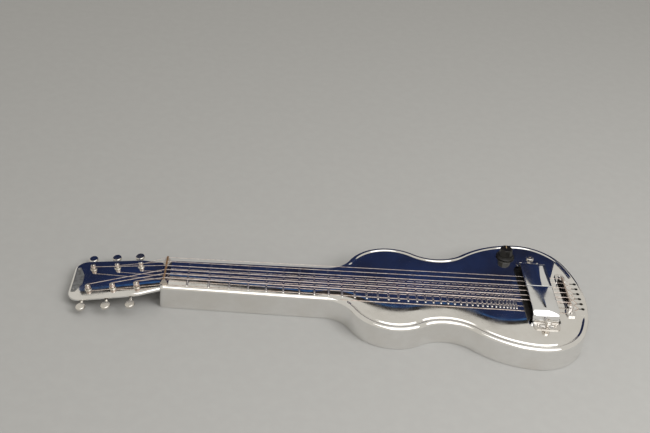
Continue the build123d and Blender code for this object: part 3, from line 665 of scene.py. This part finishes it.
def make_knob(finish, paint):
    """An eight-sided moulded knob on a round skirt, with a painted pointer groove."""
    low, high = box("volume_knob")
    skirt_radius = (high.x - low.x) / 2
    grip_low, grip_high, grip_foot = 10.0, 8.5, low.z + 3.6
    crown = 0.9
    flats = 8
    centre = Matrix.Translation((KNOB.x, KNOB.y, 0))
    skirt_profile = [
        (0, low.z),
        (skirt_radius - 0.5, low.z),
        (skirt_radius, low.z + 0.4),
        (skirt_radius, low.z + 1.0),
        (skirt_radius - 0.5, low.z + 1.5),
        (skirt_radius - 1.6, low.z + 2.1),
        (grip_low + 1.2, low.z + 4.1),
        (grip_low - 0.8, low.z + 4.6),
        (0, low.z + 4.6),
    ]
    skirt = lathe("skirt", skirt_profile, centre, 96)
    across_corners = 1 / math.cos(math.pi / flats)
    levels = [(grip_foot, grip_low), (high.z - crown, grip_high), (high.z, grip_high - crown)]
    points, faces = [], []
    for height, half in levels:
        for side in range(flats):
            angle = 2 * math.pi / flats * (side + 0.5)
            reach = half * across_corners
            points.append((KNOB.x + reach * math.cos(angle), KNOB.y + reach * math.sin(angle), height))
    for level in range(len(levels) - 1):
        for side in range(flats):
            here, there = level * flats + side, level * flats + (side + 1) % flats
            faces.append([here, there, there + flats, here + flats])
    faces += [list(range(flats)), list(range(2 * flats, 3 * flats))]
    grip = soften(mesh_piece("grip", points, faces), 0.45, 3, 20)
    knob = joined("moulded_knob", skirt, grip)
    knob.data.polygons.foreach_set("use_smooth", [True] * len(knob.data.polygons))
    sharpen(knob, 30)
    dress(knob, finish, "volume_knob")
    length, half_width, sunk, proud = grip_high - crown - 0.6, 0.45, 0.4, 0.05
    outline = [(-half_width, 0), (half_width, 0), (half_width, length), (-half_width, length)]
    line = prism("knob_pointer", outline, high.z - sunk, high.z + proud, centre)
    line.data.materials.append(paint)
    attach(line, BODIES["volume_knob"])


def make_nameplate(finish):
    """A blank plate with a raised border round a sunk field, lying on the head's face."""
    pins_low, pins_high = box("nameplate_pins")
    u = (head_matrix().inverted() @ ((pins_low + pins_high) / 2)).x
    half, thickness, border, sunk = 27.0, 1.0, 1.3, 0.4
    edge = [(u + 2.0, half), (u + 5.0, half * 0.72), (u + 9.5, half / 3)]
    back = u - 4.0
    lower = [(along, -across) for along, across in edge]
    outline = [(back, -half), *lower, *reversed(edge), (back, half)]
    plate = prism("blank_plate", outline, 0, thickness, head_matrix())
    work = bmesh.new()
    work.from_mesh(plate.data)
    upper = max(work.faces, key=lambda face: face.calc_center_median().dot(HEAD_UP))
    bmesh.ops.inset_region(work, faces=[upper], thickness=border * MM, depth=0)
    bmesh.ops.inset_region(work, faces=[upper], thickness=0.3 * MM, depth=-sunk * MM)
    work.to_mesh(plate.data)
    work.free()
    soften(plate, 0.25, 2, 25)
    sharpen(plate, 30)
    dress(plate, finish, "nameplate")


# ---------------------------------------------------------------- materials


class Recipe:
    """One material's nodes, with short calls for the textures that the finishes share."""

    def __init__(self, name):
        self.material = bpy.data.materials.new(name)
        self.material.use_nodes = True
        self.tree = self.material.node_tree
        self.surface = self.tree.nodes["Principled BSDF"]
        self.place = self.node("ShaderNodeTexCoord").outputs["Object"]

    def node(self, kind, inputs=None, **settings):
        """Adds a node; inputs are sockets to link or plain values."""
        made = self.tree.nodes.new(kind)
        for name, value in settings.items():
            setattr(made, name, value)
        for name, value in (inputs or {}).items():
            if isinstance(value, bpy.types.NodeSocket):
                self.tree.links.new(value, made.inputs[name])
            else:
                made.inputs[name].default_value = value
        return made

    def noise(self, scale, detail=4.0, stretch=(1, 1, 1), roughness=0.55):
        """Noise over the piece, stretched along the axes whose value is small."""
        placed = self.node("ShaderNodeMapping", {"Vector": self.place, "Scale": stretch})
        made = self.node(
            "ShaderNodeTexNoise",
            {"Vector": placed.outputs[0], "Scale": scale, "Detail": detail, "Roughness": roughness},
        )
        return made.outputs["Fac"]

    def cells(self, scale):
        """Distance to the nearest of a scatter of points."""
        return self.node("ShaderNodeTexVoronoi", {"Vector": self.place, "Scale": scale}).outputs["Distance"]

    def spread(self, value, low, high, to_low=0.0, to_high=1.0):
        """Stretches a value's range, clamped."""
        made = self.node(
            "ShaderNodeMapRange",
            {"Value": value, "From Min": low, "From Max": high, "To Min": to_low, "To Max": to_high},
        )
        return made.outputs[0]

    def times(self, one, other, operation="MULTIPLY"):
        """Arithmetic on two values."""
        return self.node("ShaderNodeMath", {0: one, 1: other}, operation=operation).outputs[0]

    def mix(self, share, one, other):
        """Mixes two colours."""
        made = self.node("ShaderNodeMix", data_type="RGBA")
        for socket, value in ((made.inputs[0], share), (made.inputs[6], one), (made.inputs[7], other)):
            if isinstance(value, bpy.types.NodeSocket):
                self.tree.links.new(value, socket)
            else:
                socket.default_value = (*value, 1) if isinstance(value, tuple) else value
        return made.outputs[2]

    def set(self, **inputs):
        """Sets or links inputs of the surface, with underscores for spaces."""
        for name, value in inputs.items():
            socket = self.surface.inputs[name.replace("_", " ")]
            if isinstance(value, bpy.types.NodeSocket):
                self.tree.links.new(value, socket)
            else:
                socket.default_value = (*value, 1) if isinstance(value, tuple) else value

    def bump(self, height, depth):
        """Relief of the given depth in millimetres."""
        made = self.node("ShaderNodeBump", {"Height": height, "Distance": depth * MM, "Strength": 1.0})
        self.tree.links.new(made.outputs[0], self.surface.inputs["Normal"])


def plating(name, colour, tarnish, shine=0.05, dull=0.16, pits=0.5, scratch=0.0006):
    """Polished plating: smudged, lightly scratched, with a few dull pits."""
    recipe = Recipe(name)
    smudge = recipe.spread(recipe.noise(22, 5), 0.42, 0.66)
    hair = recipe.noise(2600, 2, (0.05, 1, 1))
    grain = recipe.noise(900, 3)
    pit = recipe.spread(recipe.cells(420), 0.16, 0.07)
    patch = recipe.spread(recipe.noise(60, 3), 0.56, 0.68)
    spots = recipe.times(recipe.times(pit, patch), pits)
    toned = recipe.mix(recipe.times(smudge, 0.5), colour, tarnish)
    pit_colour = tuple(channel * 0.25 for channel in tarnish)
    recipe.set(Base_Color=recipe.mix(spots, toned, pit_colour), Metallic=1.0)
    rough = recipe.spread(smudge, 0, 1, shine, dull)
    recipe.set(Roughness=recipe.times(rough, recipe.times(spots, 0.35), "ADD"))
    recipe.bump(recipe.times(recipe.times(hair, grain), recipe.times(spots, -3.0), "ADD"), scratch)
    return recipe.material


def worn_bar(name, colour, under):
    """A plated bar worn through to the metal under it along its crest, where the strings cross."""
    recipe = Recipe(name)
    height = recipe.node("ShaderNodeSeparateXYZ", {"Vector": recipe.place}).outputs["Z"]
    crest = recipe.spread(height, (TOP + 7.0) * MM, (TOP + 10.0) * MM)
    blotch = recipe.spread(recipe.noise(260, 6), 0.38, 0.62)
    worn = recipe.spread(recipe.times(crest, recipe.times(blotch, 0.4), "ADD"), 0.7, 1.2)
    stain = recipe.spread(recipe.noise(500, 5), 0.56, 0.7)
    toned = recipe.mix(recipe.times(stain, 0.5), recipe.mix(worn, colour, under), (0.16, 0.08, 0.04))
    recipe.set(Base_Color=toned, Metallic=1.0)
    rough = recipe.times(recipe.spread(worn, 0, 1, 0.08, 0.38), recipe.times(stain, 0.25), "ADD")
    recipe.set(Roughness=rough)
    recipe.bump(recipe.noise(1500, 4), 0.006)
    return recipe.material


def bakelite(name):
    """Dulled black moulding with fine scratches and dust."""
    recipe = Recipe(name)
    dust = recipe.spread(recipe.noise(900, 6), 0.55, 0.75)
    scuff = recipe.noise(1400, 3, (1, 0.1, 1))
    recipe.set(Base_Color=recipe.mix(recipe.times(dust, 0.4), (0.006, 0.0055, 0.005), (0.05, 0.04, 0.035)))
    recipe.set(Roughness=recipe.spread(scuff, 0.3, 0.7, 0.25, 0.45), Specular_IOR_Level=0.35)
    recipe.bump(recipe.times(scuff, dust, "ADD"), 0.01)
    return recipe.material


def dull_metal(name, colour, dark, rough=0.35, grain=(0.1, 1, 1), relief=0.01):
    """Machined or brushed metal with grey stains."""
    recipe = Recipe(name)
    brushed = recipe.noise(1800, 4, grain)
    stain = recipe.spread(recipe.noise(180, 6), 0.42, 0.66)
    recipe.set(Base_Color=recipe.mix(recipe.times(stain, 0.8), colour, dark), Metallic=1.0)
    recipe.set(Roughness=recipe.spread(brushed, 0.3, 0.7, rough * 0.7, rough * 1.4))
    recipe.bump(brushed, relief)
    return recipe.material


def fibre(name, colour, fleck, scale=1200, relief=0.03):
    """Pressed fibre, cloth or card: matt, flecked and slightly rough."""
    recipe = Recipe(name)
    grain = recipe.noise(scale, 6)
    weave = recipe.noise(scale * 2, 2, (1, 0.2, 1))
    recipe.set(Base_Color=recipe.mix(recipe.spread(grain, 0.4, 0.7), colour, fleck), Roughness=0.75)
    recipe.bump(recipe.times(grain, weave), relief)
    return recipe.material


def copper_winding(name):
    """Fine enamelled wire in level turns."""
    recipe = Recipe(name)
    height = recipe.node("ShaderNodeSeparateXYZ", {"Vector": recipe.place}).outputs["Z"]
    wire = 0.16 * MM
    phase = recipe.times(height, 2 * math.pi / wire)
    turns = recipe.node("ShaderNodeMath", {0: phase}, operation="SINE")
    shade = recipe.mix(recipe.noise(300, 4), (0.25, 0.07, 0.03), (0.5, 0.2, 0.07))
    recipe.set(Base_Color=shade, Metallic=0.8)
    recipe.set(Roughness=recipe.spread(recipe.noise(800), 0, 1, 0.3, 0.5))
    recipe.bump(turns.outputs[0], 0.05)
    return recipe.material


# ---------------------------------------------------------------- assembly

CHROME = plating("polished_plating", (0.90, 0.89, 0.87), (0.80, 0.77, 0.72), 0.03, 0.09)
MAGNET_CHROME = plating("magnet_plating", (0.86, 0.87, 0.88), (0.72, 0.71, 0.70), 0.05, 0.14, 0.9)
TUNER_CHROME = plating("tuner_plating", (0.78, 0.75, 0.70), (0.52, 0.47, 0.40), 0.12, 0.3, 1.0, 0.004)
FITTING_CHROME = plating("fitting_plating", (0.84, 0.82, 0.79), (0.62, 0.56, 0.50), 0.1, 0.26, 1.0, 0.004)
BACK_PLATING = plating("back_plating", (0.80, 0.81, 0.82), (0.62, 0.60, 0.58), 0.12, 0.3, 0.8, 0.003)
WORN_BRASS = worn_bar("worn_brass_bar", (0.66, 0.60, 0.54), (0.52, 0.30, 0.14))
BRIDGE_METAL = worn_bar("worn_bridge", (0.78, 0.76, 0.74), (0.60, 0.50, 0.42))
STRING_METAL = dull_metal("string_metal", (0.80, 0.71, 0.66), (0.50, 0.38, 0.32), 0.3)
STEEL = dull_metal("plain_steel", (0.60, 0.60, 0.60), (0.34, 0.31, 0.28), 0.32)
BRASS = dull_metal("cut_brass", (0.70, 0.50, 0.22), (0.40, 0.25, 0.10), 0.35)
PLATE_GREY = dull_metal("dulled_plate", (0.34, 0.35, 0.36), (0.20, 0.20, 0.20), 0.45, (1, 0.08, 1), 0.02)
ALUMINIUM = dull_metal("stamped_case", (0.70, 0.70, 0.70), (0.50, 0.50, 0.49), 0.4)
BLACK = bakelite("black_bakelite")
BOBBIN_FIBRE = fibre("vulcanised_fibre", (0.03, 0.02, 0.016), (0.07, 0.05, 0.04))
LEAD_CLOTH = fibre("waxed_cloth", (0.08, 0.05, 0.02), (0.18, 0.12, 0.06), 2500, 0.08)
COPPER = copper_winding("enamelled_copper")
POINTER_PAINT = fibre("pointer_paint", (0.42, 0.30, 0.16), (0.24, 0.15, 0.08), 900, 0.02)

make_shell(CHROME)
make_knob(BLACK, POINTER_PAINT)
make_nameplate(PLATE_GREY)
for string in range(6):
    dress(make_string(string, STRING_METAL), STRING_METAL, "string_%d" % (string + 1))

KEPT = {
    "back_plate": (BACK_PLATING, 0.2),
    "back_plate_posts": (STEEL, 0.0),
    "back_plate_screws": (STEEL, 0.0),
    "nut": (WORN_BRASS, 0.0),
    "bridge": (BRIDGE_METAL, 0.0),
    "bridge_screws": (FITTING_CHROME, 0.0),
    "string_ball_ends": (BRASS, 0.2),
    "magnet_near": (MAGNET_CHROME, 1.2),
    "magnet_far": (MAGNET_CHROME, 1.2),
    "pickup_end_plates": (FITTING_CHROME, 0.2),
    "pickup_plate_screws": (FITTING_CHROME, 0.0),
    "pickup_height_screws": (FITTING_CHROME, 0.0),
    "pickup_support_bar": (STEEL, 0.3),
    "pickup_base": (BLACK, 0.3),
    "coil_bobbin": (BOBBIN_FIBRE, 0.2),
    "coil_winding": (COPPER, 0.2),
    "pole_pieces": (STEEL, 0.3),
    "potentiometer_case": (ALUMINIUM, 0.0),
    "potentiometer_nut": (FITTING_CHROME, 0.2),
    "potentiometer_shaft": (ALUMINIUM, 0.0),
    "output_jack": (FITTING_CHROME, 0.0),
    "jack_nut": (FITTING_CHROME, 0.3),
    "wiring": (LEAD_CLOTH, 0.0),
    "nameplate_pins": (STEEL, 0.15),
    "tuner_plates": (TUNER_CHROME, 0.2),
    "tuner_plate_screws": (TUNER_CHROME, 0.2),
    "post_ferrules": (TUNER_CHROME, 0.2),
}
for number in range(1, 7):
    KEPT["tuner_post_%d" % number] = (TUNER_CHROME, 0.0)
    KEPT["tuner_gear_%d" % number] = (BRASS, 0.1)
    KEPT["key_shaft_%d" % number] = (STEEL, 0.1)
    KEPT["key_button_%d" % number] = (TUNER_CHROME, 0.0)
for node, (finish, width) in KEPT.items():
    keep(node, finish, width)

# ---------------------------------------------------------------- stage, light and camera

LINING_Y = 170.0
LINING_ENDS = (-203.0, 609.0)
LINING_HEIGHT = 145.0
LINING_SLOPE = 0.08
FOLD_START, FOLD_LENGTH, FOLD_DEPTH = 215.0, 190.0, 10.0
CORNER_LENGTH, CORNER_FOOT, CORNER_TOP = 91.0, 52.0, 100.0
CAMERA_LENS = 56.925
CAMERA_PLACE = (0.13628, -1.16849, 0.93424)
CAMERA_DEGREES = (56.035, -4.742, -0.787)


def lining_height(x):
    """The lining's upper edge above the guitar's top: a slope, sagging in folds towards the tail."""
    height = LINING_HEIGHT + LINING_SLOPE * x
    if x > FOLD_START:
        height -= FOLD_DEPTH * math.sin(2 * math.pi * (x - FOLD_START) / FOLD_LENGTH)
    return height


def corner_height(t):
    """The upper edge of the lining's corner piece past the tail, whose dimmer glow is painted shade, at t from 0
    to 1 along it.
    """
    return CORNER_TOP - (CORNER_TOP - CORNER_FOOT) * (1 - t) ** 3


def flat_card(name, corners, finish):
    """A staged plane through four corners in metres."""
    mesh = bpy.data.meshes.new(name)
    mesh.from_pydata(corners, [], [(0, 1, 2, 3)])
    card = bpy.data.objects.new(name, mesh)
    bpy.context.scene.collection.objects.link(card)
    mesh.materials.append(finish)


def area_light(name, place, target, size, power, colour=(1, 1, 1)):
    """A square soft light aimed at a point."""
    data = bpy.data.lights.new(name, "AREA")
    data.size = size
    data.energy = power
    data.color = colour
    lamp = bpy.data.objects.new(name, data)
    lamp.location = place
    aim = Vector(target) - Vector(place)
    lamp.rotation_euler = aim.to_track_quat("-Z", "Y").to_euler()
    bpy.context.scene.collection.objects.link(lamp)
    return lamp


def glow(name, colour, fleck, scale):
    """A mottled card that gives off its own even light, so that its colour doesn't hang on the lamps."""
    recipe = Recipe(name)
    shade = recipe.mix(recipe.spread(recipe.noise(scale, 6), 0.35, 0.7), colour, fleck)
    recipe.set(Base_Color=(0.0, 0.0, 0.0), Roughness=1.0, Emission_Color=shade, Emission_Strength=1.0)
    return recipe.material


def lining_card(name, lower, upper, finish):
    """An upright strip between two edges of (x, height above the top), which only reflections see."""
    points = [(x * MM, LINING_Y * MM, (TOP + z) * MM) for x, z in lower + upper]
    count = len(lower)
    faces = [(i, i + 1, count + i + 1, count + i) for i in range(count - 1)]
    mesh = bpy.data.meshes.new(name)
    mesh.from_pydata(points, [], faces)
    card = bpy.data.objects.new(name, mesh)
    bpy.context.scene.collection.objects.link(card)
    mesh.materials.append(finish)
    card.visible_camera = False
    card.visible_diffuse = False
    card.visible_shadow = False


def make_lining():
    """What the mirror-bright top shows: the blue lining of an open lid standing behind the far side, made of
    glowing cards whose fixed colours paint in the lining's light and shade for the reflections.
    """
    trim, border = 3.0, 9.0
    first, last = LINING_ENDS
    places = [first + (last - first) * step / 80 for step in range(81)]
    edge = [(x, lining_height(x)) for x in places]
    crown = [(x, z - border) for x, z in edge]
    seam = [(x, z - trim) for x, z in crown]
    foot = [(x, 0) for x, z in crown]
    # the lining, its brighter blue trim and the lid's black border glow with fixed colours: painted light and
    # shade, not lamp-lit cloth
    lining_card("lining", foot, seam, glow("blue_lining_glow", (0.002, 0.005, 0.026), (0.006, 0.020, 0.085), 14))
    lining_card("lining_trim", seam, crown, glow("blue_trim_glow", (0.01, 0.05, 0.16), (0.03, 0.12, 0.30), 90))
    rim = glow("lid_border_glow", (0.004, 0.004, 0.004), (0.03, 0.02, 0.015), 60)
    lining_card("lining_border", crown, edge, rim)
    # the corner piece past the tail glows dimmer than the rest of the lining: painted shade
    shares = [step / 10 for step in range(11)]
    corner = [(last + CORNER_LENGTH * t, corner_height(t)) for t in shares]
    shade = glow("corner_lining_painted_shade", (0.004, 0.006, 0.02), (0.02, 0.03, 0.06), 20)
    lining_card("lining_corner", [(x, 0) for x, _ in corner], corner, shade)


def make_stage():
    """A plain pale floor."""
    paper = fibre("pale_floor", (0.335, 0.335, 0.33), (0.345, 0.345, 0.34), 60, 0.0)
    reach = 6.0
    floor_z = -0.0005
    signs = ((-1, -1), (1, -1), (1, 1), (-1, 1))
    flat_card("floor", [(x * reach, y * reach, floor_z) for x, y in signs], paper)
    make_lining()


def make_light():
    """Soft studio light: a pale surround, one broad light overhead and a key from the tail's side."""
    world = bpy.data.worlds.new("studio")
    world.use_nodes = True
    world.node_tree.nodes["Background"].inputs["Color"].default_value = (0.66, 0.635, 0.585, 1)
    world.node_tree.nodes["Background"].inputs["Strength"].default_value = 0.9
    bpy.context.scene.world = world
    centre = (0.3, 0, 0)
    key = area_light("key", (1.5, -0.9, 1.5), centre, 1.2, 26, (1.0, 0.98, 0.95))
    key.visible_glossy = False
    area_light("overhead", (0.75, -0.9, 1.9), centre, 2.4, 24)


def make_camera():
    """The camera looks down across the strings from the bass side."""
    data = bpy.data.cameras.new("camera")
    data.lens = CAMERA_LENS
    data.sensor_width = 36
    camera = bpy.data.objects.new("camera", data)
    camera.location = CAMERA_PLACE
    camera.rotation_euler = [math.radians(angle) for angle in CAMERA_DEGREES]
    bpy.context.scene.collection.objects.link(camera)
    bpy.context.scene.camera = camera


make_stage()
make_light()
make_camera()
bpy.context.scene.view_settings.view_transform = "Standard"
